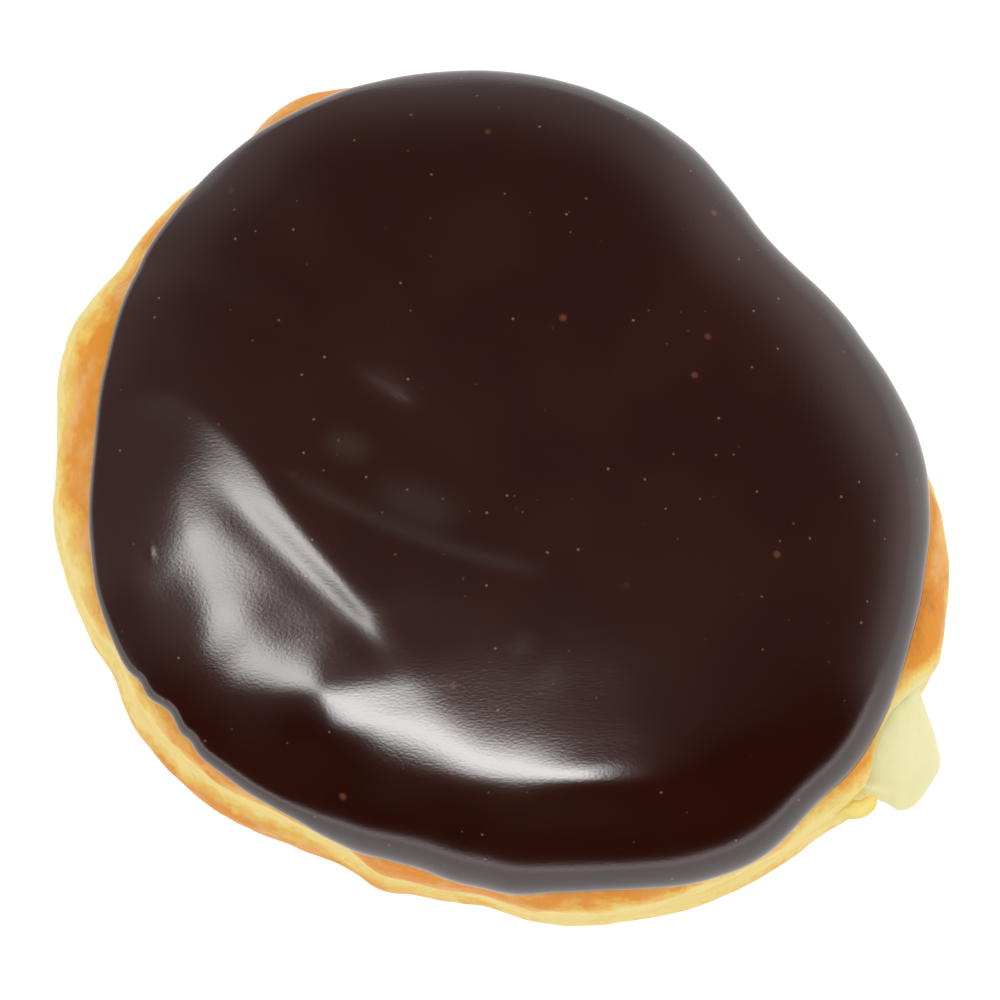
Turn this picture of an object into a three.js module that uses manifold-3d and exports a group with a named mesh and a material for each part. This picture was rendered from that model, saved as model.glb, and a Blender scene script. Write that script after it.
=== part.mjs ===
// A custard-filled doughnut: a fried dough ball with a pale belt, a poured chocolate cap,
// and a custard filling that swells out of the hole it was piped in by.
// Millimetres and degrees. The origin is the middle of the flat underside, +Z is up, -Y the front and
// +X the right; directions turn from +X towards +Y.
import * as THREE from "three";
import { ParametricGeometry } from "three/addons/geometries/ParametricGeometry.js";
import { mergeVertices } from "three/addons/utils/BufferGeometryUtils.js";
import Module from "manifold-3d";

// Dough ball
const DOUGH_REACH = 44; // plan radius where nothing swells or draws in
const BELT_HEIGHT = 16.5; // height of the widest level
const CROWN_RISE = 20.5; // from the widest level to the top of the bare dough
const CROWN_FULLNESS = 2.5; // 2 is an ellipse, more is a flatter top with fuller shoulders
const FOOT_DROP = 17.3; // a little more than BELT_HEIGHT, so that the underside is pressed flat
const FOOT_FULLNESS = 2.5;
const BELT_PINCH = 0.9; // how far the pale belt is drawn in between the two browned halves
const BELT_HALF = 5; // half the width of the belt
const BELT_SWAY = 1.5; // how far the belt climbs and dips on its way round
const BELT_TOP_TOWARD = 190; // the belt is highest at the left

// Swells and hollows of the dough: direction, spread and reach, and for a local one its height and tallness
const DOUGH_SWELLS = [
  { toward: 41, spread: 27, reach: -6.2 }, // flattened back right
  { toward: 327, spread: 40, reach: 3.1 }, // round the filling hole
  { toward: 250, spread: 27, reach: -3.7 }, // flattened front
  { toward: 10, spread: 14, reach: -1.2 },
  { toward: 205, spread: 16, reach: -0.8 },
  { toward: 163, spread: 30, reach: 2.8 }, // left bulge
  { toward: 118, spread: 14, reach: 2 }, // back left bulge
  { toward: 132, spread: 9, reach: -0.9 }, // creases between the two
  { toward: 149, spread: 4, reach: -0.8 },
  { toward: 228, spread: 26, reach: 1.1, height: 9, tall: 6 }, // lower lip at the front left
  { toward: 300, spread: 16, reach: 0.7, height: 10, tall: 6 },
];

// Crown: a pressed facet at the front left and a thumb-sized dent near the middle
const FACET = { toward: 223, distance: 20, height: 35.7, slope: 18.8, blend: 0.5 };
const DENT = { x: -9.5, y: 2, spread: 7, depth: 0.6 };

// Chocolate icing
const ICING_THICKNESS = 2.5;
const ICING_LIP = 4.5; // length over which the thickness rounds over to the edge
const ICING_OVERHANG = 1.5; // how far the lip stands out past the line where it meets the dough
const ICING_REACH = 42; // plan radius of the visible edge where nothing swells or draws in
const ICING_SWELLS = [
  { toward: 40, spread: 26, reach: -5.4 }, // bay over the flattened back right
  { toward: 312, spread: 32, reach: 4.1 }, // flow towards the filling hole
  { toward: 2, spread: 14, reach: 0.9 },
  { toward: 120, spread: 28, reach: 1.2 },
  { toward: 172, spread: 18, reach: -1 }, // bay at the left
  { toward: 253, spread: 31, reach: -2.5 }, // straight front
];

// Custard: a pocket inside, a neck through the filling hole and the part squeezed out
const CUSTARD_TOWARD = -33;
const CUSTARD_HEIGHT = 17.6;
const POCKET = { reach: 20, halfWidth: 17, flatness: 0.38 };
const NECK = { radius: 4.6, blend: 2, start: 8, end: 24 }; // the flat pocket rounds up between start and end
const BULGE = { start: 42, tip: 51.4, halfWidth: 6.1, blend: 3, squareness: 3.6 };
const BULGE_HEIGHT = 1.15; // height over width
const BULGE_LEAN = 0.42; // how much of its far side is cut away at the tip
const BULGE_DROOP = 1.2;

// Torn curl of crust beside the filling hole
const CURL = { out: 46.3, aside: -6.1, height: 21.8, length: 1.8, thickness: 1.2 };

const CLEARANCE = 0.35; // gap that separate pieces keep
const AROUND = 96; // facets round the ball
const DOUGH_RINGS = 28;
const ICING_TOP_RINGS = 17;
const ICING_UNDER_RINGS = 8;
const CUSTARD_AROUND = 32;
const CUSTARD_RINGS = 30;
const CURL_AROUND = 16;
const CURL_RINGS = 10;
const HALVINGS = 40; // steps of a search by halving

const radians = THREE.MathUtils.degToRad;
const bell = (x) => Math.exp(-x * x);
const turnBetween = (a, b) => ((((a - b + 180) % 360) + 360) % 360) - 180;
const smoothMin = (a, b, blend) => (a + b - Math.hypot(a - b, blend)) / 2;
const smoothMax = (a, b, blend) => (a + b + Math.hypot(a - b, blend)) / 2;

// Sum of the swells in one direction; a swell with a height acts only near it
function swell(list, toward, z) {
  return list.reduce((sum, s) => {
    const level = s.height === undefined ? 1 : bell((z - s.height) / s.tall);
    return sum + s.reach * level * bell(turnBetween(toward, s.toward) / s.spread);
  }, 0);
}

function beltHeight(toward) {
  return BELT_HEIGHT + BELT_SWAY * Math.cos(radians(toward - BELT_TOP_TOWARD));
}

function doughReach(toward, z) {
  const pinch = BELT_PINCH * bell((z - beltHeight(toward)) / BELT_HALF);
  return DOUGH_REACH + swell(DOUGH_SWELLS, toward, z) - pinch;
}

// Height of the crown at a plan point, once the facet and the dent are pressed into it
function pressCrown(x, y, z) {
  const along = x * Math.cos(radians(FACET.toward)) + y * Math.sin(radians(FACET.toward));
  const facet = FACET.height - (along - FACET.distance) * Math.tan(radians(FACET.slope));
  const dent = DENT.depth * bell(Math.hypot(x - DENT.x, y - DENT.y) / DENT.spread);
  return smoothMin(z, facet, FACET.blend) - dent;
}

// Point of the dough's surface at a direction and a latitude, -90 under the middle and 90 on top
function doughPoint(toward, latitude, target = new THREE.Vector3()) {
  const isCrown = latitude > 0;
  const power = 2 / (isCrown ? CROWN_FULLNESS : FOOT_FULLNESS);
  const inward = Math.max(0, Math.cos(radians(latitude))) ** power;
  const rise = Math.abs(Math.sin(radians(latitude))) ** power;
  let z = isCrown ? BELT_HEIGHT + CROWN_RISE * rise : Math.max(0, BELT_HEIGHT - FOOT_DROP * rise);
  const r = doughReach(toward, z) * inward;
  const x = r * Math.cos(radians(toward));
  const y = r * Math.sin(radians(toward));
  if (isCrown) z = pressCrown(x, y, z);
  return target.set(x, y, z);
}

// Outward direction of the dough's surface, from its slopes along and across
function doughNormal(toward, latitude) {
  const step = 0.5;
  if (latitude > 90 - 2 * step) return new THREE.Vector3(0, 0, 1);
  const across = doughPoint(toward + step, latitude).sub(doughPoint(toward - step, latitude));
  const along = doughPoint(toward, latitude + step).sub(doughPoint(toward, latitude - step));
  return across.cross(along).normalize();
}

// Latitude at which the crown has a given plan radius, by halving
function crownLatitude(toward, planRadius) {
  let low = 0;
  let high = 90;
  for (let i = 0; i < HALVINGS; i++) {
    const middle = (low + high) / 2;
    const p = doughPoint(toward, middle);
    if (Math.hypot(p.x, p.y) > planRadius) low = middle;
    else high = middle;
  }
  return low;
}

const icingEdge = (toward) => ICING_REACH - ICING_OVERHANG + swell(ICING_SWELLS, toward, 0);

// Icing from its top (v = 0) out over the lip and back along the underside to the middle (v = 1)
function icingPoint(toward, v, edgeLatitude, target) {
  const ring = v * (ICING_TOP_RINGS + ICING_UNDER_RINGS);
  const isTop = ring < ICING_TOP_RINGS;
  const out = isTop
    ? Math.sin(radians((90 * ring) / ICING_TOP_RINGS))
    : 1 - (ring - ICING_TOP_RINGS) / ICING_UNDER_RINGS;
  const latitude = 90 - (90 - edgeLatitude) * out;
  const base = doughPoint(toward, latitude);
  let lift = CLEARANCE;
  if (isTop) {
    const fromEdge = base.distanceTo(doughPoint(toward, edgeLatitude));
    const shortfall = Math.max(0, 1 - fromEdge / ICING_LIP);
    lift += ICING_THICKNESS * Math.sqrt(Math.max(0, 1 - shortfall ** 2));
  }
  return target.copy(base).addScaledVector(doughNormal(toward, latitude), lift);
}

// Share of the way from the start of the bulge to its tip
function intoBulge(along) {
  return THREE.MathUtils.clamp((along - BULGE.start) / (BULGE.tip - BULGE.start), 0, 1);
}

// Half-width of the custard at a distance along the filling hole's axis
function custardHalfWidth(along) {
  const pocket = POCKET.halfWidth * Math.sqrt(Math.max(0, 1 - (along / POCKET.reach) ** 2));
  if (along < 0) return pocket;
  const closing = (1 - intoBulge(along) ** BULGE.squareness) ** (1 / BULGE.squareness);
  const neck = smoothMax(pocket, NECK.radius, NECK.blend);
  const bulge = BULGE.halfWidth * closing;
  const widening = THREE.MathUtils.smoothstep(along, BULGE.start - BULGE.blend, BULGE.start + BULGE.blend);
  return THREE.MathUtils.lerp(neck, bulge, widening);
}

// Custard surface in its own frame, X along the hole, Y aside and Z up, from the pocket's back to the tip
function custardPoint(turn, v, target = new THREE.Vector3()) {
  const length = POCKET.reach + BULGE.tip;
  const along = -POCKET.reach + (length * (1 - Math.cos(Math.PI * v))) / 2;
  const halfWidth = custardHalfWidth(along);
  const rounding = THREE.MathUtils.smoothstep(along, NECK.start, NECK.end);
  const flatness = THREE.MathUtils.lerp(POCKET.flatness, BULGE_HEIGHT, rounding);
  const lean = 1 - BULGE_LEAN * intoBulge(along) * Math.max(0, Math.cos(turn));
  const aside = halfWidth * Math.cos(turn) * lean;
  const up = halfWidth * Math.sin(turn) * flatness - BULGE_DROOP * intoBulge(along);
  return target.set(along, aside, up);
}

// Outward direction of the custard's surface
function custardNormal(turn, v) {
  const step = 0.004;
  if (v < 2 * step) return new THREE.Vector3(-1, 0, 0);
  if (v > 1 - 2 * step) return new THREE.Vector3(1, 0, 0);
  const across = custardPoint(turn + step, v).sub(custardPoint(turn - step, v));
  const along = custardPoint(turn, v + step).sub(custardPoint(turn, v - step));
  return across.cross(along).normalize();
}

const wasm = await Module();
wasm.setup();

// A closed geometry as a solid for cutting and joining
function solidOf(geometry) {
  const bare = geometry.clone();
  bare.deleteAttribute("normal");
  bare.deleteAttribute("uv");
  const merged = mergeVertices(bare, 1e-3);
  return new wasm.Manifold(
    new wasm.Mesh({
      numProp: 3,
      vertProperties: merged.attributes.position.array,
      triVerts: new Uint32Array(merged.index.array),
    }),
  );
}

// A solid back as a geometry
function geometryOf(solid) {
  const mesh = solid.getMesh();
  const geometry = new THREE.BufferGeometry();
  geometry.setAttribute("position", new THREE.BufferAttribute(mesh.vertProperties, 3));
  geometry.setIndex(new THREE.BufferAttribute(mesh.triVerts, 1));
  geometry.computeVertexNormals();
  return geometry;
}

// Moves a shape made along the filling hole's axis to its place in the dough
function placeAtHole(geometry) {
  geometry.rotateZ(radians(CUSTARD_TOWARD));
  return geometry.translate(0, 0, CUSTARD_HEIGHT);
}

function makeCustard(margin = 0) {
  const surface = (u, v, target) => {
    const turn = 2 * Math.PI * u;
    return custardPoint(turn, v, target).addScaledVector(custardNormal(turn, v), margin);
  };
  return placeAtHole(new ParametricGeometry(surface, CUSTARD_AROUND, CUSTARD_RINGS));
}

function makeCurl() {
  const geometry = new THREE.SphereGeometry(1, CURL_AROUND, CURL_RINGS);
  geometry.scale(CURL.thickness, CURL.length, CURL.thickness);
  geometry.translate(CURL.out, CURL.aside, CURL.height - CUSTARD_HEIGHT);
  return placeAtHole(geometry);
}

// The dough with the torn curl joined on and room left for the custard
function makeDough() {
  const surface = (u, v, target) => doughPoint(360 * u, 180 * v - 90, target);
  const ball = new ParametricGeometry(surface, AROUND, DOUGH_RINGS);
  const whole = solidOf(ball).add(solidOf(makeCurl()));
  return geometryOf(whole.subtract(solidOf(makeCustard(CLEARANCE))));
}

function makeIcing() {
  const surface = (u, v, target) => {
    const toward = -360 * u; // it starts on top, so it runs round the other way to face outwards
    return icingPoint(toward, v, crownLatitude(toward, icingEdge(toward)), target);
  };
  return new ParametricGeometry(surface, AROUND, ICING_TOP_RINGS + ICING_UNDER_RINGS);
}

function addPiece(group, name, geometry, colour, roughness) {
  const material = new THREE.MeshStandardMaterial({ color: colour, roughness, metalness: 0 });
  const mesh = new THREE.Mesh(geometry, material);
  mesh.name = name;
  group.add(mesh);
}

const doughnut = new THREE.Group();
addPiece(doughnut, "dough", makeDough(), 0xe6b566, 0.6);
addPiece(doughnut, "chocolate_icing", makeIcing(), 0x341a15, 0.22);
addPiece(doughnut, "custard", makeCustard(), 0xf2ecb6, 0.4);

export default doughnut;
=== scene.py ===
"""Looks of a custard-filled doughnut: fried dough, poured chocolate icing and squeezed custard."""

import itertools
import logging
import math
from dataclasses import dataclass, replace
from enum import Enum

import bmesh
import bpy
import numpy as np
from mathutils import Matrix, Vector


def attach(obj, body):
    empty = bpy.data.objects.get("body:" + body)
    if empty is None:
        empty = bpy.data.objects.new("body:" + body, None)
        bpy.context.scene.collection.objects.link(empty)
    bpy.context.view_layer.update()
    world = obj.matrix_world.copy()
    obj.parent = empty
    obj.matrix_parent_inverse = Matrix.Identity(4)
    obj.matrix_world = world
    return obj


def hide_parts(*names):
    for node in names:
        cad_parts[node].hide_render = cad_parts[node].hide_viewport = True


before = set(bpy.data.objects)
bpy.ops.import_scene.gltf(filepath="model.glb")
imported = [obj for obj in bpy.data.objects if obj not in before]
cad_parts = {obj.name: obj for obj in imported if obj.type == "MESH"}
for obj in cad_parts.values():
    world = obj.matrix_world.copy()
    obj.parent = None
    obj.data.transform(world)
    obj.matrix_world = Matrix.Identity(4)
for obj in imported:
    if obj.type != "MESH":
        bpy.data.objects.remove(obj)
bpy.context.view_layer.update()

MM = 0.001
LOG = logging.getLogger("doughnut")

Colour = tuple[float, float, float]
Pair = tuple[float, float]
Point = tuple[float, float, float]
Socket = bpy.types.NodeSocket


def bell(x: np.ndarray) -> np.ndarray:
    """A smooth bump, one at zero and nothing beyond about two."""
    return np.exp(-np.square(x))


def turn_between(a: np.ndarray, b: float) -> np.ndarray:
    """The signed turn in degrees from direction b to direction a."""
    return (a - b + 180.0) % 360.0 - 180.0


def smooth_min(a: np.ndarray, b: np.ndarray, blend: float) -> np.ndarray:
    """The lower of two heights, rounded over where they meet."""
    return (a + b - np.hypot(a - b, blend)) / 2


def smooth_max(a: np.ndarray, b: float, blend: float) -> np.ndarray:
    """The greater of two widths, rounded over where they meet."""
    return (a + b + np.hypot(a - b, blend)) / 2


def smooth_step(x: np.ndarray, low: float, high: float) -> np.ndarray:
    """A soft step from nothing at low to one at high."""
    t = np.clip((x - low) / (high - low), 0.0, 1.0)
    return t * t * (3 - 2 * t)


def spun(points: np.ndarray, degrees: float) -> np.ndarray:
    """Points turned about Z.

    Args:
        points: One row of X, Y and Z for each.
        degrees: The turn, from +X towards +Y.

    Returns:
        The turned points.
    """
    turn = math.radians(degrees)
    x, y, z = points.T
    turned_x = x * math.cos(turn) - y * math.sin(turn)
    turned_y = x * math.sin(turn) + y * math.cos(turn)
    return np.stack([turned_x, turned_y, z], axis=-1)


@dataclass(frozen=True)
class Lumps:
    """Smooth random lumps: their size in millimetres, height and seed, and the share that is sunk."""

    size: float
    height: float
    seed: int
    sunk: float = 0.0

    def at(self, points: np.ndarray) -> np.ndarray:
        """The rise at points, from random slopes at the corners of a grid of cells.

        Args:
            points: Places in millimetres, one row each.

        Returns:
            A rise for each point, within about the height either way where nothing is sunk.
        """
        cells = 48
        loudness = 1.6
        slopes = np.random.default_rng(self.seed).normal(size=(cells, cells, cells, 3))
        slopes /= np.linalg.norm(slopes, axis=-1, keepdims=True)
        places = points / self.size
        corner = np.floor(places).astype(int)
        inside = places - corner
        fade = inside**3 * (inside * (6 * inside - 15) + 10)
        total = np.zeros(len(points))
        for step in itertools.product((0, 1), repeat=3):
            i, j, k = ((corner + step) % cells).T
            weight = np.prod(np.where(np.array(step, bool), fade, 1 - fade), axis=-1)
            total += weight * np.sum(slopes[i, j, k] * (inside - step), axis=-1)
        return self.height * (total * loudness - self.sunk)


class Slot(Enum):
    """The record's material slots."""

    DOUGH = "dough"
    ICING = "chocolate_icing"
    CUSTARD = "custard"


@dataclass(frozen=True)
class Swell:
    """A swell or hollow of an outline: where it points, how wide it is and how far it reaches."""

    toward: float
    spread: float
    reach: float
    height: float | None = None
    tall: float = 1.0

    def at(self, toward: np.ndarray, z: np.ndarray | float = 0.0) -> np.ndarray:
        """The reach in a direction, which a swell with a height has only near it."""
        level = 1.0 if self.height is None else bell((z - self.height) / self.tall)
        return self.reach * level * bell(turn_between(toward, self.toward) / self.spread)


def swollen(swells: tuple[Swell, ...], toward: np.ndarray, z: np.ndarray | float = 0.0) -> np.ndarray:
    """The reach of several swells together."""
    return sum(swell.at(toward, z) for swell in swells)


@dataclass(frozen=True)
class Dent:
    """A round dent in plan, or a bump where its depth is negative."""

    x: float
    y: float
    spread: float
    depth: float

    def at(self, x: np.ndarray, y: np.ndarray) -> np.ndarray:
        """The rise at plan points."""
        return -self.depth * bell(np.hypot(x - self.x, y - self.y) / self.spread)


@dataclass(frozen=True)
class Crest:
    """A long low rise along a bowed line in plan, or a hollow where its height is negative."""

    start: Pair
    end: Pair
    height: float
    left: float
    right: float
    bow: float = 0.0
    fade: float = 3.0

    def at(self, x: np.ndarray, y: np.ndarray) -> np.ndarray:
        """The rise at plan points, which has its own spread to the left and right of the line.

        Args:
            x: The points' first coordinates.
            y: Their second coordinates.

        Returns:
            A rise in millimetres for each point.
        """
        length = math.dist(self.start, self.end)
        along_x = (self.end[0] - self.start[0]) / length
        along_y = (self.end[1] - self.start[1]) / length
        run = (x - self.start[0]) * along_x + (y - self.start[1]) * along_y
        share = run / length
        off = (y - self.start[1]) * along_x - (x - self.start[0]) * along_y
        off = off - self.bow * 4 * share * (1 - share)
        ends = smooth_step(run, -self.fade, self.fade) * smooth_step(length - run, -self.fade, self.fade)
        return self.height * ends * bell(off / np.where(off > 0, self.left, self.right))


@dataclass(frozen=True)
class Facet:
    """A slope that cuts the crown, by where it faces and its height at a distance from the middle."""

    toward: float
    distance: float
    height: float
    slope: float
    crease: float = 0.5
    outer_blend: float = 0.5
    run: float = 13.0
    bow: float = 0.0

    def cut(self, x: np.ndarray, y: np.ndarray, z: np.ndarray) -> np.ndarray:
        """The heights left at plan points: creased at the slope's top and blended in lower down.

        Args:
            x: The points' first coordinates.
            y: Their second coordinates.
            z: The heights before the cut.

        Returns:
            The heights after it.
        """
        turn = math.radians(self.toward)
        beyond = x * math.cos(turn) + y * math.sin(turn) - self.distance
        sideways = y * math.cos(turn) - x * math.sin(turn)
        slope = self.height - beyond * math.tan(math.radians(self.slope)) - self.bow * sideways**2
        blend = self.crease + (self.outer_blend - self.crease) * smooth_step(beyond, 0.0, self.run)
        return smooth_min(z, slope, blend)


@dataclass(frozen=True)
class DoughForm:
    """The shape of the dough ball, in millimetres and degrees, as the solid has it."""

    reach: float = 44.0
    belt_height: float = 16.5
    crown_rise: float = 20.5
    crown_fullness: float = 2.5
    foot_drop: float = 17.3
    foot_fullness: float = 2.5
    belt_pinch: float = 0.9
    belt_half: float = 5.0
    belt_sway: float = 1.5
    belt_top_toward: float = 190.0
    facets: tuple[Facet, ...] = (Facet(223.0, 20.0, 35.7, 18.8),)
    dent: Dent = Dent(-9.5, 2.0, 7.0, 0.6)
    swells: tuple[Swell, ...] = (
        Swell(41, 27, -6.2),
        Swell(327, 40, 3.1),
        Swell(250, 27, -3.7),
        Swell(10, 14, -1.2),
        Swell(205, 16, -0.8),
        Swell(163, 30, 2.8),
        Swell(118, 14, 2.0),
        Swell(132, 9, -0.9),
        Swell(149, 4, -0.8),
        Swell(228, 26, 1.1, 9, 6),
        Swell(300, 16, 0.7, 10, 6),
    )

    def belt_at(self, toward: np.ndarray) -> np.ndarray:
        """The height of the pale belt's middle in a direction."""
        return self.belt_height + self.belt_sway * np.cos(np.radians(toward - self.belt_top_toward))

    def reach_at(self, toward: np.ndarray, z: np.ndarray) -> np.ndarray:
        """The plan radius of the wall in a direction, at a height."""
        pinch = self.belt_pinch * bell((z - self.belt_at(toward)) / self.belt_half)
        return self.reach + swollen(self.swells, toward, z) - pinch

    def press_crown(self, x: np.ndarray, y: np.ndarray, z: np.ndarray) -> np.ndarray:
        """The crown's height once the facets and the dent are pressed into it.

        Args:
            x: The points' first coordinates.
            y: Their second coordinates.
            z: The heights before.

        Returns:
            The heights after.
        """
        for facet in self.facets:
            z = facet.cut(x, y, z)
        return z + self.dent.at(x, y)

    def point(self, toward: np.ndarray, latitude: np.ndarray) -> np.ndarray:
        """Points of the surface.

        Args:
            toward: Directions, turning from +X towards +Y.
            latitude: Latitudes, -90 under the middle and 90 on top.

        Returns:
            One row of millimetres for each direction and latitude.
        """
        is_crown = latitude > 0
        power = 2 / np.where(is_crown, self.crown_fullness, self.foot_fullness)
        inward = np.clip(np.cos(np.radians(latitude)), 0, 1) ** power
        rise = np.abs(np.sin(np.radians(latitude))) ** power
        foot = np.maximum(0, self.belt_height - self.foot_drop * rise)
        z = np.where(is_crown, self.belt_height + self.crown_rise * rise, foot)
        r = self.reach_at(toward, z) * inward
        x = r * np.cos(np.radians(toward))
        y = r * np.sin(np.radians(toward))
        z = np.where(is_crown, self.press_crown(x, y, z), z)
        return np.stack([x, y, z], axis=-1)

    def normal(self, toward: np.ndarray, latitude: np.ndarray) -> np.ndarray:
        """Outward directions of the surface, from its slopes along and across.

        Args:
            toward: Directions, turning from +X towards +Y.
            latitude: Latitudes, -90 under the middle and 90 on top.

        Returns:
            One row, about one long, for each direction and latitude.
        """
        step = 0.5
        held = np.clip(latitude, -90 + 2 * step, 90 - 2 * step)
        across = self.point(toward + step, held) - self.point(toward - step, held)
        along = self.point(toward, held + step) - self.point(toward, held - step)
        normals = np.cross(across, along)
        normals /= np.linalg.norm(normals, axis=-1, keepdims=True)
        top = smooth_step(np.abs(latitude), 90 - 4 * step, 90 - step)[:, None]
        pole = np.stack([0 * latitude, 0 * latitude, np.sign(latitude)], axis=-1)
        return normals * (1 - top) + pole * top

    def crown_latitude(self, toward: np.ndarray, plan_radius: np.ndarray) -> np.ndarray:
        """Latitudes at which the crown has given plan radii, by halving.

        Args:
            toward: Directions, turning from +X towards +Y.
            plan_radius: A plan radius for each direction.

        Returns:
            A latitude for each direction.
        """
        halvings = 40
        low = np.zeros_like(toward)
        high = np.full_like(toward, 90.0)
        for _ in range(halvings):
            middle = (low + high) / 2
            p = self.point(toward, middle)
            is_outside = np.hypot(p[:, 0], p[:, 1]) > plan_radius
            low = np.where(is_outside, middle, low)
            high = np.where(is_outside, high, middle)
        return low


@dataclass(frozen=True)
class Ball:
    """A grid wrapped round a sphere, whose vertices a formula moves into a piece's shape."""

    name: str
    around: int
    rings: int
    weld: float = 1e-5

    def make(self) -> tuple[bpy.types.Object, np.ndarray, np.ndarray]:
        """Makes the sphere as an object.

        Returns:
            The object, and its vertices' directions and latitudes in degrees.
        """
        mesh = bpy.data.meshes.new(self.name)
        shell = bmesh.new()
        bmesh.ops.create_grid(shell, x_segments=self.around, y_segments=self.rings, size=1.0)
        rim = [vert for vert in shell.verts if vert.is_boundary]
        for vert in shell.verts:
            turn, tilt = math.pi * vert.co.x, math.pi / 2 * vert.co.y
            vert.co = (math.cos(tilt) * math.cos(turn), math.cos(tilt) * math.sin(turn), math.sin(tilt))
        bmesh.ops.remove_doubles(shell, verts=rim, dist=self.weld)
        bmesh.ops.recalc_face_normals(shell, faces=shell.faces)
        for face in shell.faces:
            face.smooth = True
        shell.to_mesh(mesh)
        shell.free()
        unit = np.empty(len(mesh.vertices) * 3)
        mesh.vertices.foreach_get("co", unit)
        x, y, z = unit.reshape(-1, 3).T
        piece = bpy.data.objects.new(self.name, mesh)
        bpy.context.scene.collection.objects.link(piece)
        return piece, np.degrees(np.arctan2(y, x)), np.degrees(np.arctan2(z, np.hypot(x, y)))


def place(piece: bpy.types.Object, points: np.ndarray) -> None:
    """Moves a piece's vertices to points in millimetres."""
    piece.data.vertices.foreach_set("co", (points * MM).astype(np.float32).ravel())
    piece.data.update()


def mark(piece: bpy.types.Object, name: str, values: np.ndarray) -> None:
    """Stores one number for each vertex, for the piece's material to read."""
    layer = piece.data.attributes.new(name, "FLOAT", "POINT")
    layer.data.foreach_set("value", values.astype(np.float32))


def settle(piece: bpy.types.Object, finish: bpy.types.Material, slot: Slot, *nodes: str) -> None:
    """Gives a piece its finish, and lets it ride on the doughnut and stand for its nodes.

    Args:
        piece: The piece.
        finish: Its material.
        slot: The material slot that it belongs to; not used.
        nodes: The CAD nodes that it stands for, if any.
    """
    piece.data.materials.append(finish)
    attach(piece, "root")
    if nodes:
        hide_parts(*nodes)
    LOG.info("%s: %d faces", piece.name, len(piece.data.polygons))


@dataclass(frozen=True)
class Cloud:
    """Cloudy noise: its patches' size in millimetres, its detail, its seed and its stretch along X."""

    size: float
    detail: float
    seed: float
    stretch: float = 1.0


@dataclass(frozen=True)
class Scatter:
    """Scattered spots: their spacing, radius and soft edge in millimetres, and their seed."""

    spacing: float
    radius: float
    softness: float
    seed: float


class Graph:
    """A tree of shader nodes, with short ways to add and join them."""

    def __init__(self, tree: bpy.types.NodeTree) -> None:
        """Takes the tree to add to."""
        self.nodes = tree.nodes
        self.links = tree.links

    def ramp(self, value: Socket, low: float, high: float, start: float = 0.0, end: float = 1.0) -> Socket:
        """A value stretched softly.

        Args:
            value: The value.
            low: The value up to which the result is start.
            high: The value from which on the result is end.
            start: The first result.
            end: The last result.

        Returns:
            The result.
        """
        node = self.nodes.new("ShaderNodeMapRange")
        node.interpolation_type = "SMOOTHSTEP"
        for name, number in (("From Min", low), ("From Max", high), ("To Min", start), ("To Max", end)):
            node.inputs[name].default_value = number
        self.links.new(value, node.inputs["Value"])
        return node.outputs["Result"]

    def along(self, direction: Socket, axis: Point) -> Socket:
        """How far a direction points along an axis.

        Args:
            direction: The direction.
            axis: The axis.

        Returns:
            One along the axis and minus one against it.
        """
        node = self.nodes.new("ShaderNodeVectorMath")
        node.operation = "DOT_PRODUCT"
        node.inputs[1].default_value = axis
        self.links.new(direction, node.inputs[0])
        return node.outputs["Value"]


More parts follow.
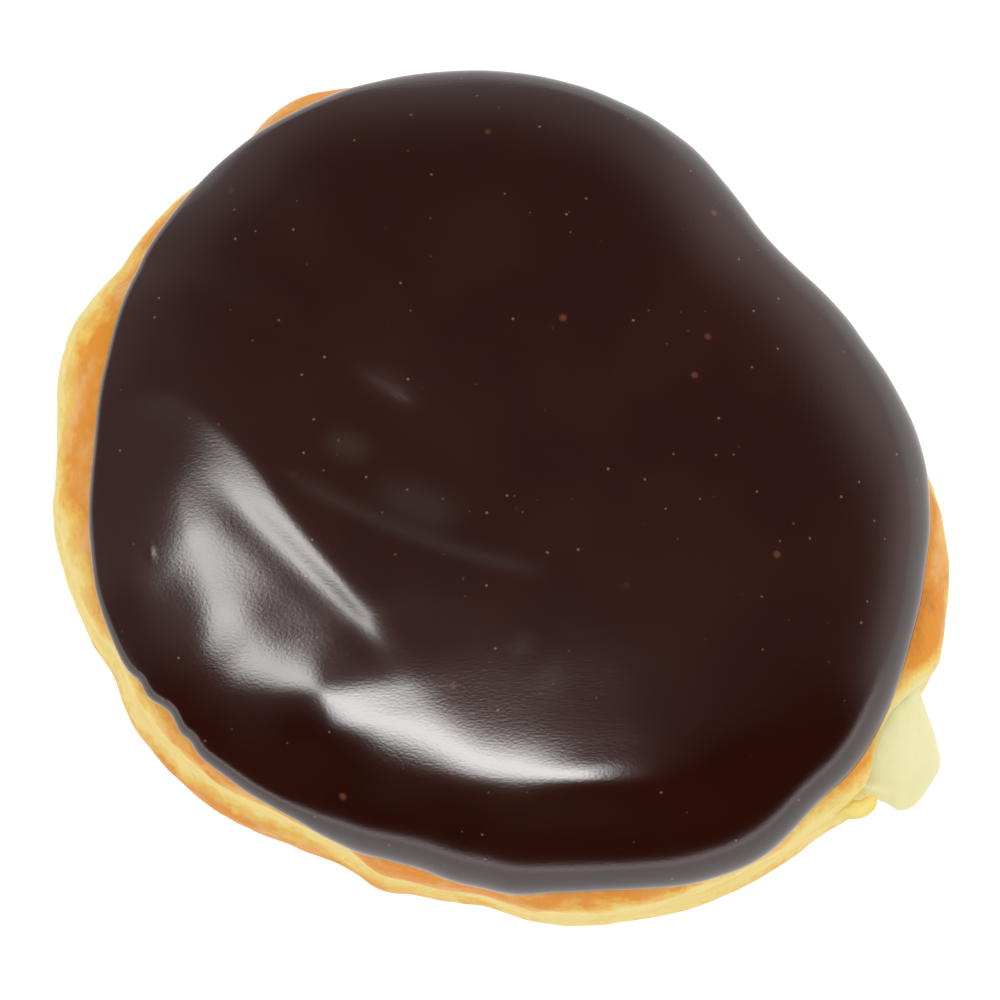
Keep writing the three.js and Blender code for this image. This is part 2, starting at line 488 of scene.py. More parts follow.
class MaterialGraph(Graph):
    """A material's nodes."""

    def __init__(self, name: str) -> None:
        """Starts a material with a Principled shader.

        Args:
            name: The material's name.
        """
        self.material = bpy.data.materials.new(name)
        self.material.use_nodes = True
        super().__init__(self.material.node_tree)
        self.shader = self.nodes["Principled BSDF"]
        self.place = self.nodes.new("ShaderNodeTexCoord").outputs["Object"]

    def set(self, **values: float | Colour) -> None:
        """Sets the shader's sockets, named with underscores for spaces.

        Args:
            values: A number or colour for each socket.
        """
        for name, value in values.items():
            is_colour = isinstance(value, tuple) and "Radius" not in name
            self.shader.inputs[name.replace("_", " ")].default_value = (*value, 1.0) if is_colour else value

    def colour(self, source: Socket) -> None:
        """Gives the shader its base colour."""
        self.links.new(source, self.shader.inputs["Base Color"])

    def moved(self, seed: float, stretch: float = 1.0) -> Socket:
        """The place on the piece, moved by a seed and drawn out along X.

        Args:
            seed: How far it is moved.
            stretch: How much a pattern is drawn out.

        Returns:
            The place to look a pattern up at.
        """
        node = self.nodes.new("ShaderNodeMapping")
        node.inputs["Location"].default_value = (seed, seed / 2, -seed / 3)
        node.inputs["Scale"].default_value = (1 / stretch, 1.0, 1.0)
        self.links.new(self.place, node.inputs["Vector"])
        return node.outputs["Vector"]

    def noise(self, cloud: Cloud) -> Socket:
        """Cloudy noise.

        Args:
            cloud: Its size, detail, seed and stretch.

        Returns:
            A number from nothing to one.
        """
        node = self.nodes.new("ShaderNodeTexNoise")
        node.inputs["Scale"].default_value = 1 / (cloud.size * MM)
        node.inputs["Detail"].default_value = cloud.detail
        self.links.new(self.moved(cloud.seed, cloud.stretch), node.inputs["Vector"])
        return node.outputs["Fac"]

    def blotches(self, cloud: Cloud, depth: float) -> Socket:
        """Cloudy noise with plain lights and darks, as far as a depth either way."""
        dark, light = 0.3, 0.7
        return self.ramp(self.noise(cloud), dark, light, -depth, depth)

    def spots(self, scatter: Scatter) -> Socket:
        """Scattered spots of uneven strength, and nothing outside them.

        Args:
            scatter: Their spacing, size and seed.

        Returns:
            A number, which is one in the strongest spots.
        """
        missing, full = 0.2, 0.7
        node = self.nodes.new("ShaderNodeTexVoronoi")
        node.inputs["Scale"].default_value = 1 / (scatter.spacing * MM)
        self.links.new(self.moved(scatter.seed), node.inputs["Vector"])
        core = (scatter.radius - scatter.softness) / scatter.spacing
        inside = self.ramp(node.outputs["Distance"], core, scatter.radius / scatter.spacing, 1.0, 0.0)
        return self.maths("MULTIPLY", inside, self.ramp(node.outputs["Color"], missing, full))

    def attribute(self, name: str) -> Socket:
        """A number that the mesh stores at each vertex.

        Args:
            name: What it is stored under.

        Returns:
            The number.
        """
        node = self.nodes.new("ShaderNodeAttribute")
        node.attribute_name = name
        return node.outputs["Fac"]

    def maths(self, kind: str, a: Socket, b: Socket | float) -> Socket:
        """Two values put together by a sum, product or the like.

        Args:
            kind: Blender's name for it.
            a: The first value.
            b: The second value.

        Returns:
            The result.
        """
        node = self.nodes.new("ShaderNodeMath")
        node.operation = kind
        self.links.new(a, node.inputs[0])
        if isinstance(b, float):
            node.inputs[1].default_value = b
        else:
            self.links.new(b, node.inputs[1])
        return node.outputs["Value"]

    def mix(self, factor: Socket, a: Socket | Colour, b: Socket | Colour) -> Socket:
        """A colour between two, by a factor.

        Args:
            factor: The share of the second colour.
            a: The first colour.
            b: The second colour.

        Returns:
            The mixed colour.
        """
        node = self.nodes.new("ShaderNodeMix")
        node.data_type = "RGBA"
        self.links.new(factor, node.inputs[0])
        # A Mix node of colours has them at inputs 6 and 7, and its result at output 2
        for value, socket in ((a, node.inputs[6]), (b, node.inputs[7])):
            if isinstance(value, tuple):
                socket.default_value = (*value, 1.0)
            else:
                self.links.new(value, socket)
        return node.outputs[2]

    def bump(self, height: Socket, depth: float, strength: float) -> None:
        """Fine relief on the shader's normal, its depth in millimetres.

        Args:
            height: The relief, mostly from nothing to one.
            depth: How high one stands.
            strength: The share of the relief that shows.
        """
        node = self.nodes.new("ShaderNodeBump")
        node.inputs["Distance"].default_value = depth * MM
        node.inputs["Strength"].default_value = strength
        self.links.new(height, node.inputs["Height"])
        self.links.new(node.outputs["Normal"], self.shader.inputs["Normal"])


@dataclass(frozen=True)
class FriedCrust:
    """Fried dough: pale round the belt, then golden, orange and brown where it met the oil.

    Each pair of numbers is where a change of colour begins and ends.
    """

    name: str = "fried_crust"
    pale: Colour = (0.88, 0.70, 0.225)
    gold: Colour = (0.84, 0.53, 0.09)
    orange: Colour = (0.77, 0.29, 0.015)
    peach: Colour = (0.81, 0.44, 0.14)
    brown: Colour = (0.50, 0.17, 0.02)
    smear: Colour = (0.87, 0.78, 0.40)
    to_gold: Pair = (0.12, 0.5)
    to_fried: Pair = (0.4, 0.85)
    to_orange: Pair = (0.85, 1.25)
    to_brown: Pair = (1.2, 1.8)
    from_smear: Pair = (-0.6, -0.2)
    mottle: Cloud = Cloud(2.6, 2.0, 0.0)
    mottle_depth: float = 0.15
    freckle: Cloud = Cloud(0.7, 3.0, 3.0)
    freckle_depth: float = 0.07
    dryness: Cloud = Cloud(4.5, 3.0, 9.0)
    to_dry: Pair = (0.42, 0.66)
    grain: Cloud = Cloud(0.5, 4.0, 2.0)
    pores: Cloud = Cloud(2.0, 3.0, 5.0)
    grain_depth: float = 0.16
    grain_strength: float = 0.8
    roughness: float = 0.55
    gloss: float = 0.3
    glow: float = 0.08
    glow_scale: float = 0.5
    glow_radius: Colour = (0.002, 0.0012, 0.0006)

    def make(self) -> bpy.types.Material:
        """Makes the material, which reads the piece's browning.

        Returns:
            The material.
        """
        graph = MaterialGraph(self.name)
        mottle = graph.blotches(self.mottle, self.mottle_depth)
        freckle = graph.blotches(self.freckle, self.freckle_depth)
        shade = graph.maths("ADD", graph.attribute("browning"), graph.maths("ADD", mottle, freckle))
        dry = graph.ramp(graph.noise(self.dryness), *self.to_dry)
        fried = graph.mix(dry, self.orange, self.peach)
        colour = graph.mix(graph.ramp(shade, *self.to_gold), self.pale, self.gold)
        colour = graph.mix(graph.ramp(shade, *self.to_fried), colour, fried)
        colour = graph.mix(graph.ramp(shade, *self.to_orange), colour, self.orange)
        colour = graph.mix(graph.ramp(shade, *self.to_brown), colour, self.brown)
        colour = graph.mix(graph.ramp(shade, *self.from_smear, 1.0, 0.0), colour, self.smear)
        graph.colour(colour)
        graph.set(Roughness=self.roughness, Specular_IOR_Level=self.gloss)
        graph.set(Subsurface_Weight=self.glow, Subsurface_Scale=self.glow_scale)
        graph.set(Subsurface_Radius=self.glow_radius)
        grain = graph.maths("ADD", graph.noise(self.grain), graph.noise(self.pores))
        graph.bump(grain, self.grain_depth, self.grain_strength)
        return graph.material


@dataclass(frozen=True)
class DarkChocolate:
    """Poured chocolate icing: dark and glossy, with fine specks, a fine grain and patches of painted sheen.
    """

    body: Colour = (0.0190, 0.0022, 0.0006)
    warm: Colour = (0.0235, 0.0036, 0.0012)
    warmth: Cloud = Cloud(14.0, 2.0, 6.0)
    to_warm: Pair = (0.4, 0.65)
    # Painted reflection: a grey mixed into the colour where the cap would catch more light
    painted_sheen: Colour = (0.10, 0.11, 0.09)
    painted_sheen_strength: float = 0.12
    speck: Colour = (0.22, 0.10, 0.07)
    specks: Scatter = Scatter(1.9, 0.19, 0.14, 1.5)
    spot: Colour = (0.13, 0.040, 0.018)
    spots: Scatter = Scatter(5.8, 0.55, 0.5, 7.5)
    grain: Cloud = Cloud(0.22, 2.0, 4.0, stretch=1.6)
    grain_depth: float = 0.02
    grain_strength: float = 0.45
    roughness: float = 0.17
    gloss: float = 0.75

    def make(self) -> bpy.types.Material:
        """Makes the material, which reads the piece's painted sheen.

        Returns:
            The material.
        """
        graph = MaterialGraph("dark_chocolate")
        colour = graph.mix(graph.ramp(graph.noise(self.warmth), *self.to_warm), self.body, self.warm)
        # Painted reflection: grey mixed into the colour as far as the piece's painted sheen reaches
        painted_sheen = graph.maths("MULTIPLY", graph.attribute("painted_sheen"), self.painted_sheen_strength)
        colour = graph.mix(painted_sheen, colour, self.painted_sheen)
        colour = graph.mix(graph.spots(self.specks), colour, self.speck)
        colour = graph.mix(graph.spots(self.spots), colour, self.spot)
        graph.colour(colour)
        graph.set(Roughness=self.roughness, Specular_IOR_Level=self.gloss)
        graph.bump(graph.noise(self.grain), self.grain_depth, self.grain_strength)
        return graph.material


@dataclass(frozen=True)
class SoftCustard:
    """Pale custard: moist and a little see-through."""

    cream: Colour = (0.82, 0.80, 0.47)
    deep: Colour = (0.81, 0.78, 0.42)
    depths: Cloud = Cloud(5.0, 2.0, 3.0)
    to_deep: Pair = (0.35, 0.75)
    grain: Cloud = Cloud(1.2, 2.0, 6.0)
    grain_depth: float = 0.08
    grain_strength: float = 0.4
    roughness: float = 0.5
    gloss: float = 0.25
    glow: float = 0.5
    glow_scale: float = 1.0
    glow_radius: Colour = (0.003, 0.002, 0.001)

    def make(self) -> bpy.types.Material:
        """Makes the material.

        Returns:
            The material.
        """
        graph = MaterialGraph("soft_custard")
        deep = graph.ramp(graph.noise(self.depths), *self.to_deep)
        graph.colour(graph.mix(deep, self.cream, self.deep))
        graph.set(Roughness=self.roughness, Specular_IOR_Level=self.gloss)
        graph.set(Subsurface_Weight=self.glow, Subsurface_Scale=self.glow_scale)
        graph.set(Subsurface_Radius=self.glow_radius)
        graph.bump(graph.noise(self.grain), self.grain_depth, self.grain_strength)
        return graph.material


@dataclass(frozen=True)
class FillingHole:
    """Where the custard comes out: the hole's direction and height, and a frame along, aside and up."""

    toward: float = -33.0
    height: float = 17.6

    def outwards(self, local: np.ndarray) -> np.ndarray:
        """Points from the hole's frame to the doughnut's."""
        return spun(local, self.toward) + (0.0, 0.0, self.height)

    def inwards(self, points: np.ndarray) -> np.ndarray:
        """Points from the doughnut's frame to the hole's."""
        return spun(points, -self.toward) - (0.0, 0.0, self.height)


@dataclass(frozen=True)
class FriedDough:
    """The fried dough ball."""

    form: DoughForm
    hole: FillingHole
    ball: Ball = Ball("fried_dough", 400, 236)
    puckers: tuple[Swell, ...] = (
        Swell(116, 4, 0.4),
        Swell(126, 4, -0.3),
        Swell(137, 4, 0.5),
        Swell(150, 9, 0.5),
        Swell(160, 5, 1.0),
        Swell(174, 6, -0.6),
        Swell(204, 3.5, -0.9, 18, 9),
        Swell(238, 12, -0.75),
        Swell(253, 4, 0.8),
        Swell(267, 4, -0.6),
        Swell(279, 7, 0.35),
        Swell(321, 4.5, 1.4),
        Swell(339, 4.5, 0.7),
        Swell(350, 9, 0.54),
    )
    belt_crowding: float = 0.5
    sole_fade: float = 3.0
    groove: float = 0.65
    groove_half: float = 3.6
    lumps: Lumps = Lumps(11.0, 0.3, seed=3, sunk=0.4)
    wrinkles: Lumps = Lumps(1.8, 0.08, seed=11, sunk=0.4)
    creases: Lumps = Lumps(5.0, 0.16, seed=12, sunk=0.4)
    crease_squeeze: float = 4.0
    crease_share: float = 0.4
    mouth_width: float = 5.8
    mouth_height: float = 6.0
    mouth_depth: float = 2.5
    mouth_fall: float = 0.95
    mouth_rim: float = 0.35
    mouth_rim_at: float = 1.5
    mouth_rim_half: float = 0.4
    mouth_nowhere: float = 9.0
    belt_top: float = 25.5
    top_swells: tuple[Swell, ...] = (
        Swell(116, 16, -5.0),
        Swell(156, 7, 1.5),
        Swell(352, 20, -2.4),
        Swell(230, 22, -2.4),
        Swell(265, 17, -6.6),
        Swell(297, 18, -2.2),
    )
    belt_foot: float = 12.5
    foot_swells: tuple[Swell, ...] = (
        Swell(230, 20, 3.2),
        Swell(282, 14, -2.5),
    )
    scorches: tuple[Swell, ...] = (
        Swell(342, 7, 0.55, 25, 4),
        Swell(146, 4, 0.5, 17, 3),
    )
    sway: Lumps = Lumps(14.0, 1.3, seed=21)
    ripple: Lumps = Lumps(4.0, 0.91, seed=22)
    top_change: Pair = (-3.6, 3.4)
    foot_change: Pair = (-4.2, 5.0)
    foot_browning: float = 1.2
    sole_browning: float = 0.5
    sole_height: float = 8.0
    mouth_pale: float = 1.2
    mouth_pale_top: float = 26.0
    mouth_pale_fade: float = 4.0
    smears: tuple[Dent, ...] = (
        Dent(5.4, 5.2, 2.2, 1.5),
        Dent(2.4, 6.6, 1.8, 1.2),
        Dent(3.0, -6.0, 2.0, 0.9),
    )

    def build(self) -> None:
        """Builds the dough with its lumps, wrinkles and the drawn-in mouth of the hole."""
        piece, toward, ball_latitude = self.ball.make()
        crowding = np.degrees(self.belt_crowding * np.sin(np.radians(2 * ball_latitude)) / 2)
        latitude = ball_latitude - crowding
        points = self.form.point(toward, latitude)
        normals = self.form.normal(toward, latitude)
        mouth = self.from_mouth(points)
        relief = self.relief(toward, latitude, points) - self.drawn_in(mouth)
        place(piece, points + normals * relief[:, None])
        mark(piece, "browning", self.browning(toward, points, mouth))
        settle(piece, FriedCrust().make(), Slot.DOUGH, "dough")

    def belt_limits(self, toward: np.ndarray, points: np.ndarray) -> tuple[np.ndarray, np.ndarray]:
        """The heights at which the pale belt begins and ends, with a random sway.

        Args:
            toward: The vertices' directions.
            points: The vertices themselves.

        Returns:
            The belt's foot and its top for each vertex.
        """
        sway = self.sway.at(points) + self.ripple.at(points)
        low = self.belt_foot + swollen(self.foot_swells, toward) + sway
        return low, self.belt_top + swollen(self.top_swells, toward) + sway

    def relief(self, toward: np.ndarray, latitude: np.ndarray, points: np.ndarray) -> np.ndarray:
        """The rise of lumps, puckers, creases, wrinkles and the belt's groove, with none at the floor.

        Args:
            toward: The vertices' directions.
            latitude: Their latitudes.
            points: The vertices themselves.

        Returns:
            A rise in millimetres for each vertex.
        """
        z = points[:, 2]
        low, high = self.belt_limits(toward, points)
        near_belt = bell((z - (low + high) / 2) / self.groove_half)
        squeezed = points * np.array([1.0, 1.0, self.crease_squeeze])
        rise = self.lumps.at(points)
        rise += swollen(self.puckers, toward, z) * np.cos(np.radians(latitude)) ** 2
        rise += self.creases.at(squeezed) * (self.crease_share + near_belt)
        rise += self.wrinkles.at(points)
        rise -= self.groove * near_belt
        return rise * smooth_step(z, 0.0, self.sole_fade)

    def from_mouth(self, points: np.ndarray) -> np.ndarray:
        """Distances from the middle of the hole's mouth, one at its edge and far off behind it.

        Args:
            points: The vertices.

        Returns:
            A distance for each vertex.
        """
        local = self.hole.inwards(points)
        distance = np.hypot(local[:, 1] / self.mouth_width, local[:, 2] / self.mouth_height)
        return np.where(local[:, 0] > 0, distance, self.mouth_nowhere)

    def drawn_in(self, mouth: np.ndarray) -> np.ndarray:
        """How far the wall is drawn in at distances from the mouth, with a low rim round it."""
        rim = bell((mouth - self.mouth_rim_at) / self.mouth_rim_half)
        return self.mouth_depth * bell(mouth / self.mouth_fall) - self.mouth_rim * rim

    def browning(self, toward: np.ndarray, points: np.ndarray, mouth: np.ndarray) -> np.ndarray:
        """How brown the crust is, below nothing where custard is smeared.

        Args:
            toward: The vertices' directions.
            points: The vertices before the relief.
            mouth: Their distances from the mouth of the hole.

        Returns:
            Nothing on the belt, about one where it is fried and more where it is brown.
        """
        z = points[:, 2]
        low, high = self.belt_limits(toward, points)
        foot = self.foot_browning * smooth_step(low - z, *self.foot_change)
        sole = self.sole_browning * smooth_step(-z, -self.sole_height, 0.0)
        brown = smooth_step(z - high, *self.top_change) + foot
        brown += sole + swollen(self.scorches, toward, z)
        below_top = smooth_step(self.mouth_pale_top - z, 0.0, self.mouth_pale_fade)
        brown *= 1 - bell(mouth / self.mouth_pale) * below_top
        local = self.hole.inwards(points)
        smeared = sum(smear.at(local[:, 1], local[:, 2]) for smear in self.smears)
        return brown + np.where(local[:, 0] > 0, smeared, 0.0)


ICING_FACETS = (
    Facet(223.0, 18.5, 36.0, 18.8, 0.08, 1.2, bow=0.004),
)


@dataclass(frozen=True)
class ChocolateIcing:
    """The poured icing cap."""

    form: DoughForm
    ball: Ball = Ball("poured_icing", 400, 236)
    top_share: float = 0.9
    thickness: float = 2.42
    lip: float = 2.6
    lip_swells: tuple[Swell, ...] = (
        Swell(275, 34, 6.4),
        Swell(345, 34, 5.4),
        Swell(65, 40, 1.6),
        Swell(175, 55, -1.0),
    )
    lip_power: float = 2.4
    ragged: Lumps = Lumps(4.5, 0.1, seed=41)
    overhang: float = 1.62
    reach: float = 42.0
    lift: float = 0.35
    seat: float = -0.2
    swells: tuple[Swell, ...] = (
        Swell(40, 26, -5.4),
        Swell(312, 32, 4.1),
        Swell(2, 14, 0.9),
        Swell(120, 28, 1.0),
        Swell(172, 18, -1.1),
        Swell(253, 31, -2.5),
        Swell(345, 28, 0.65),
        Swell(262, 17, 1.0),
        Swell(300, 8, 0.4),
        Swell(28, 9, 0.5),
        Swell(58, 9, 0.35),
        Swell(210.2, 1.5, -0.3),
        Swell(216, 3.0, -0.8),
        Swell(221, 1.4, -0.3),
        Swell(258, 6.0, -0.45),
        Swell(272, 4.0, 0.3),
        Swell(314, 5.0, -0.55),
    )
    # Painted reflection: soft patches on the crown where grey is mixed into the colour as if they caught
    # more light; the negative one keeps a spot clear of it
    painted_sheens: tuple[Crest, ...] = (
        Crest((-16.5, 1.6), (-13.0, 0.4), 1.0, 1.3, 1.3, fade=1.5),
        Crest((-11.0, -3.6), (-5.0, -6.4), 1.0, 2.0, 2.2, fade=2.5),
        Crest((-19.5, -2.5), (2.8, -11.4), 0.8, 0.9, 0.7, bow=-1.0, fade=3.0),
        Crest((1.6, -18.2), (2.4, -19.2), 1.1, 1.3, 1.3, fade=1.2),
        Crest((4.2, -21.2), (5.4, -22.6), 1.1, 1.8, 1.8, fade=1.6),
        Crest((-9.8, 3.2), (-7.0, -0.8), -0.9, 0.9, 0.9, fade=1.0),
    )
    dents: tuple[Dent, ...] = (
        Dent(-14.5, -1.0, 2.0, 0.12),
        Dent(-7.0, -5.5, 2.2, 0.12),
        Dent(-24.5, -17.5, 3.0, 0.1),
        Dent(-32.8, -8.1, 0.4, -0.06),
    )
    crests: tuple[Crest, ...] = (
        # The dip behind the dent in the crown
        Crest((-15.0, 6.9), (-9.4, 4.0), -0.6, 2.8, 3.8, fade=3.0),
        # The line that sharpens the ridge
        Crest((-25.5, -3.3), (-9.9, -18.9), -0.16, 1.4, 1.9, fade=5.0),
        # The outer edge of the trough beside the ridge, on the left and at the front
        Crest((-30.6, -0.5), (-27.0, -12.5), 0.62, 5.0, 8.0, bow=-0.8, fade=7.0),
        Crest((-28.0, -14.0), (-17.5, -25.5), 0.72, 5.5, 5.0, fade=5.0),
        # The hollow below that edge
        Crest((-23.5, -27.0), (-16.5, -31.0), -0.9, 5.0, 3.0, fade=4.5),
        # The brow along the front, and a finer line on it
        Crest((5.0, -30.0), (18.0, -29.6), 0.22, 1.8, 1.6, fade=4.0),
        Crest((-10.0, -27.9), (22.0, -27.7), 0.5, 5.0, 3.4, bow=-2.0, fade=9.0),
        # The shoulder where the brow begins
        Crest((-16.0, -19.0), (-15.0, -28.0), 0.62, 8.5, 4.1, fade=3.5),
    )
    waves: Lumps = Lumps(8.0, 0.06, seed=5)

    def edge_at(self, toward: np.ndarray) -> np.ndarray:
        """The plan radius at which the icing meets the dough.

        Args:
            toward: Directions, turning from +X towards +Y.

        Returns:
            A radius in millimetres for each direction.
        """
        smooth = self.reach - self.overhang + swollen(self.swells, toward)
        turn = np.radians(toward)
        rim = np.stack([np.cos(turn), np.sin(turn), 0 * turn], axis=-1) * self.reach
        return smooth + self.ragged.at(rim)

    def relief(self, base: np.ndarray) -> np.ndarray:
        """The rise of the dents, crests and waves over points of the dough.

        Args:
            base: The points.

        Returns:
            A rise in millimetres for each point.
        """
        x, y = base[:, 0], base[:, 1]
        rise = sum(form.at(x, y) for form in (*self.dents, *self.crests))
        return rise + self.waves.at(base)

    def surface(self, toward: np.ndarray, share: np.ndarray) -> np.ndarray:
        """Points of the cap, from its top over the rounded lip and back underneath.

        Args:
            toward: Directions, turning from +X towards +Y.
            share: How far along the profile, nothing on top and one under the middle.

        Returns:
            One row of millimetres for each direction and share.
        """
        digits = 3
        directions, of_direction = np.unique(np.round(toward, digits), return_inverse=True)
        edge = self.form.crown_latitude(directions, self.edge_at(directions))[of_direction]
        is_top = share < self.top_share
        top_out = np.sin(np.radians(90 * np.clip(share / self.top_share, 0, 1)))
        under_out = 1 - np.clip((share - self.top_share) / (1 - self.top_share), 0, 1)
        latitude = 90 - (90 - edge) * np.where(is_top, top_out, under_out)
        base = self.form.point(toward, latitude)
        from_edge = np.linalg.norm(base - self.form.point(toward, edge), axis=-1)
        shortfall = np.clip(1 - from_edge / (self.lip + swollen(self.lip_swells, toward)), 0, 1)
        rounding = np.sqrt(1 - shortfall**self.lip_power)
        raised = self.seat + (self.lift - self.seat + self.thickness) * rounding
        raised = np.where(is_top, raised + self.relief(base) * rounding, self.seat)
        return base + self.form.normal(toward, latitude) * raised[:, None]

    def build(self) -> None:
        """Builds the cap and gives it its finish."""
        piece, toward, latitude = self.ball.make()
        points = self.surface(toward, (90 - latitude) / 180)
        place(piece, points)
        # Stores the painted reflection: the grey patches that the material mixes into the colour
        mark(piece, "painted_sheen", sum(painted_sheen.at(points[:, 0], points[:, 1]) for painted_sheen in self.painted_sheens))
        settle(piece, DarkChocolate().make(), Slot.ICING, "chocolate_icing")


@dataclass(frozen=True)
class CustardFilling:
    """The custard: a pocket inside, a neck through the hole and the part squeezed out."""

    hole: FillingHole
    ball: Ball = Ball("squeezed_custard", 120, 160)
    pocket_reach: float = 20.0
    pocket_half_width: float = 17.0
    pocket_flatness: float = 0.38
    neck_radius: float = 4.6
    neck_blend: float = 2.0
    neck_start: float = 8.0
    neck_end: float = 24.0
    bulge_start: float = 42.0
    bulge_tip: float = 51.4
    bulge_half_width: float = 6.1
    bulge_blend: float = 3.0
    squareness: float = 5.0
    roundness: float = 2.4
    height: float = 1.15
    lean: float = 0.9
    lean_power: float = 1.3
    upper_share: float = 1.28
    lower_share: float = 0.8
    droop: float = 1.2
    lumps: Lumps = Lumps(3.6, 0.5, seed=8)
    folds: Lumps = Lumps(1.6, 0.32, seed=9)
    smooth_start: float = 0.3
    least_half: float = 1.0

    def into_bulge(self, along: np.ndarray) -> np.ndarray:
        """The share of the way from the start of the bulge to its tip."""
        return np.clip((along - self.bulge_start) / (self.bulge_tip - self.bulge_start), 0, 1)

    def widening(self, along: np.ndarray) -> np.ndarray:
        """The share of the change from the neck to the bulge."""
        return smooth_step(along, self.bulge_start - self.bulge_blend, self.bulge_start + self.bulge_blend)

    def half_width(self, along: np.ndarray) -> np.ndarray:
        """The half-width at distances along the hole's axis.

        Args:
            along: The distances from the doughnut's middle.

        Returns:
            A half-width for each distance.
        """
        pocket = self.pocket_half_width * np.sqrt(np.clip(1 - (along / self.pocket_reach) ** 2, 0, 1))
        closing = (1 - self.into_bulge(along) ** self.squareness) ** (1 / self.squareness)
        neck = smooth_max(pocket, self.neck_radius, self.neck_blend)
        widening = self.widening(along)
        outer = neck * (1 - widening) + self.bulge_half_width * closing * widening
        return np.where(along < 0, pocket, outer)

    def build(self) -> None:
        """Builds the custard along the hole's axis and turns it into place."""
        piece, turn_degrees, latitude = self.ball.make()
        turn = np.radians(turn_degrees)
        length = self.pocket_reach + self.bulge_tip
        along = -self.pocket_reach + length * (1 + np.sin(np.radians(latitude))) / 2
        half = self.half_width(along)
        rounding = smooth_step(along, self.neck_start, self.neck_end)
        flatness = self.pocket_flatness + (self.height - self.pocket_flatness) * rounding
        into = self.into_bulge(along)
        upper = self.upper_share - self.lean * into**self.lean_power
        slanted = np.where(np.cos(turn) > 0, upper, self.lower_share)
        aside = half * np.cos(turn) * (1 + (slanted - 1) * self.widening(along))
        domed = (1 - into**self.roundness) ** (1 / self.roundness)
        up = half * np.sin(turn) * flatness * domed - self.droop * into
        local = np.stack([along, aside, up], axis=-1)
        uneven = self.lumps.at(local) + self.folds.at(local)
        uneven *= smooth_step(into, 0.0, self.smooth_start)
        local[:, 1:] *= (1 + uneven / np.maximum(half, self.least_half))[:, None]
        place(piece, self.hole.outwards(local))
        settle(piece, SoftCustard().make(), Slot.CUSTARD, "custard")


@dataclass(frozen=True)
class TornCrust:
    """The flap of crust that the custard pushed aside: a small bent roll on the wall beside the hole."""

    hole: FillingHole
    ball: Ball = Ball("torn_crust", 48, 48)
    tip: Point = (47.4, -5.4, 3.0)
    bend: Point = (48.0, -7.6, 2.7)
    root: Point = (44.4, -8.2, 1.6)
    radius: float = 0.8
    flatness: float = 0.75
    flare: float = 0.5
    bluntness: float = 0.6
    lumps: Lumps = Lumps(1.2, 0.15, seed=31)
    browning: float = 0.12
    mottle: Lumps = Lumps(1.5, 0.2, seed=32)
    pale: Colour = (0.88, 0.73, 0.22)

    def build(self) -> None:
        """Builds the roll along its bent line, from its tip to its root in the dough."""
        piece, turn_degrees, latitude = self.ball.make()
        tilt, turn = np.radians(latitude)[:, None], np.radians(turn_degrees)[:, None]
        tip, bend, root = np.array(self.tip), np.array(self.bend), np.array(self.root)
        share = (1 + np.sin(tilt)) / 2
        middle = (1 - share) ** 2 * tip + 2 * share * (1 - share) * bend + share**2 * root
        axis = (1 - share) * (bend - tip) + share * (root - bend)
        axis /= np.linalg.norm(axis, axis=-1, keepdims=True)
        across = np.cross(axis, (0.0, 0.0, 1.0))
        across /= np.linalg.norm(across, axis=-1, keepdims=True)
        above = np.cross(across, axis)
        reach = self.radius * (1 + self.flare * share**2) * np.cos(tilt) ** self.bluntness
        local = middle + reach * (np.cos(turn) * across + self.flatness * np.sin(turn) * above)
        local += self.lumps.at(local)[:, None] * above
        place(piece, self.hole.outwards(local))
        mark(piece, "browning", self.browning + self.mottle.at(local))
        settle(piece, FriedCrust("soaked_crust", pale=self.pale).make(), Slot.DOUGH)


@dataclass(frozen=True)
class Softbox:
    """A rectangular lamp that hangs level, face down and brighter to its middle, with sizes in metres.

    One that is mirrored shows in gloss alone, and any other lights matt surfaces alone.
    """

    name: str
    middle: Pair
    size: Pair
    radiance: float
    height: float = 0.6
    is_mirrored: bool = True
    border: Pair = (0.0, 0.0)
    layers: int = 5
    layer_gap: float = 0.002

    def build(self) -> None:
        """Hangs the lamp as nested panels, each smaller than the one before by a share of the border."""
        for layer in range(self.layers):
            inset = 2 * layer / self.layers
            panel = bpy.data.lights.new(f"{self.name}_{layer}", "AREA")
            panel.shape = "RECTANGLE"
            panel.size = self.size[0] - inset * self.border[0]
            panel.size_y = self.size[1] - inset * self.border[1]
            panel.energy = self.radiance / self.layers * math.pi * panel.size * panel.size_y
            light = bpy.data.objects.new(panel.name, panel)
            light.location = (*self.middle, self.height + self.layer_gap * layer)
            light.visible_glossy = self.is_mirrored
            light.visible_diffuse = not self.is_mirrored
            bpy.context.scene.collection.objects.link(light)


@dataclass(frozen=True)
class Wall:
    """One side of the room: its direction, and its light low down and high up.

    Each pair is where a change begins and ends: from low to high, and from the room to this side.
    """

    toward: float
    low: float
    high: float
    heights: Pair
    turn: Pair


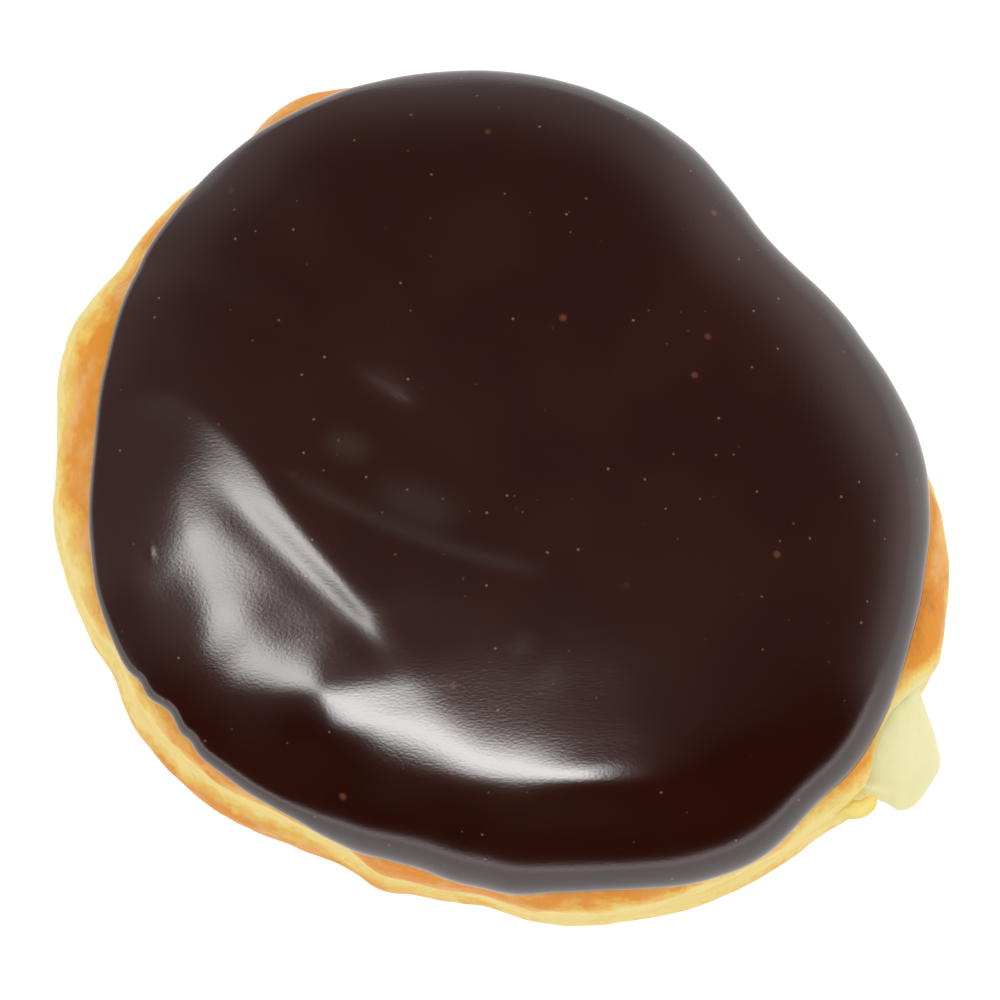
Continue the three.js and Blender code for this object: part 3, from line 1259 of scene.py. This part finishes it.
@dataclass(frozen=True)
class Room:
    """The light of the room: dim overhead, and brighter or darker walls to the sides."""

    tint: Colour = (1.0, 0.89, 0.88)
    low: float = 0.5
    overhead: float = 0.115
    heights: Pair = (0.05, 0.6)
    walls: tuple[Wall, ...] = (
        Wall(0.0, 1.0, 0.115, (0.1, 0.7), (0.3, 0.8)),
        Wall(180.0, 0.5, 0.22, (0.1, 0.8), (0.3, 0.8)),
        Wall(270.0, 2.75, 0.0, (0.02, 0.16), (0.1, 0.45)),
    )

    def build(self) -> None:
        """Makes the world."""
        world = bpy.data.worlds.new("room")
        bpy.context.scene.world = world
        world.use_nodes = True
        graph = Graph(world.node_tree)
        background = graph.nodes["Background"]
        looked = graph.nodes.new("ShaderNodeTexCoord").outputs["Generated"]
        height = graph.along(looked, (0.0, 0.0, 1.0))
        light = graph.ramp(height, *self.heights, self.low, self.overhead)
        # A Mix node of numbers has its factor at input 0, and the two numbers at 2 and 3
        for wall in self.walls:
            turn = math.radians(wall.toward)
            facing = graph.along(looked, (math.cos(turn), math.sin(turn), 0.0))
            blend = graph.nodes.new("ShaderNodeMix")
            graph.links.new(graph.ramp(facing, *wall.turn), blend.inputs[0])
            graph.links.new(light, blend.inputs[2])
            graph.links.new(graph.ramp(height, *wall.heights, wall.low, wall.high), blend.inputs[3])
            light = blend.outputs[0]
        graph.links.new(light, background.inputs["Strength"])
        background.inputs["Color"].default_value = (*self.tint, 1.0)


@dataclass(frozen=True)
class Studio:
    """A pale floor, soft light and the camera."""

    elevation: float = 78.0
    distance: float = 0.6
    lens: float = 216.0
    target: Point = (0.0, 0.0, 0.018)
    nearest: float = 0.01
    floor_size: float = 6.0
    floor_roughness: float = 0.9
    floor_white: float = 0.3
    floor_glow: float = 0.95
    room: Room = Room()
    lamps: tuple[Softbox, ...] = (
        Softbox("front_softbox", (-0.1225, -0.34), (0.445, 0.35), 13.5, border=(0.06, 0.14)),
        Softbox("left_softbox", (-0.437, -0.1125), (0.27, 0.315), 9.2, border=(0.055, 0.11)),
        Softbox("overhead_fill", (0.0, 0.0), (3.0, 3.0), 1.65, height=1.5, is_mirrored=False, layers=1),
    )

    def make_camera(self) -> None:
        """Places the camera at the photograph's angle."""
        lens = bpy.data.cameras.new("camera")
        lens.lens = self.lens
        lens.clip_start = self.nearest
        camera = bpy.data.objects.new("camera", lens)
        tilt = math.radians(self.elevation)
        back = Vector((0.0, -math.cos(tilt), math.sin(tilt)))
        camera.location = Vector(self.target) + back * self.distance
        camera.rotation_euler = (-back).to_track_quat("-Z", "Y").to_euler()
        bpy.context.scene.collection.objects.link(camera)
        bpy.context.scene.camera = camera

    def make_floor(self) -> None:
        """Lays the floor."""
        mesh = bpy.data.meshes.new("floor")
        grid = bmesh.new()
        bmesh.ops.create_grid(grid, x_segments=1, y_segments=1, size=self.floor_size / 2)
        grid.to_mesh(mesh)
        grid.free()
        floor = bpy.data.objects.new("floor", mesh)
        bpy.context.scene.collection.objects.link(floor)
        graph = MaterialGraph("white_floor")
        graph.set(Base_Color=(self.floor_white,) * 3, Roughness=self.floor_roughness)
        graph.set(Specular_IOR_Level=0.0)
        graph.set(Emission_Color=(1.0, 1.0, 1.0), Emission_Strength=self.floor_glow)
        mesh.materials.append(graph.material)

    def build(self) -> None:
        """Sets up floor, lights, world and camera."""
        self.make_floor()
        self.make_camera()
        self.room.build()
        for lamp in self.lamps:
            lamp.build()
        bpy.context.scene.view_settings.view_transform = "Standard"


def main() -> None:
    """Builds the doughnut's pieces in order, then the studio."""
    logging.basicConfig(level=logging.INFO)
    form = DoughForm()
    crisp_form = replace(form, facets=ICING_FACETS)
    hole = FillingHole()
    FriedDough(form, hole).build()
    ChocolateIcing(crisp_form).build()
    CustardFilling(hole).build()
    TornCrust(hole).build()
    Studio().build()


if __name__ == "__main__":
    main()
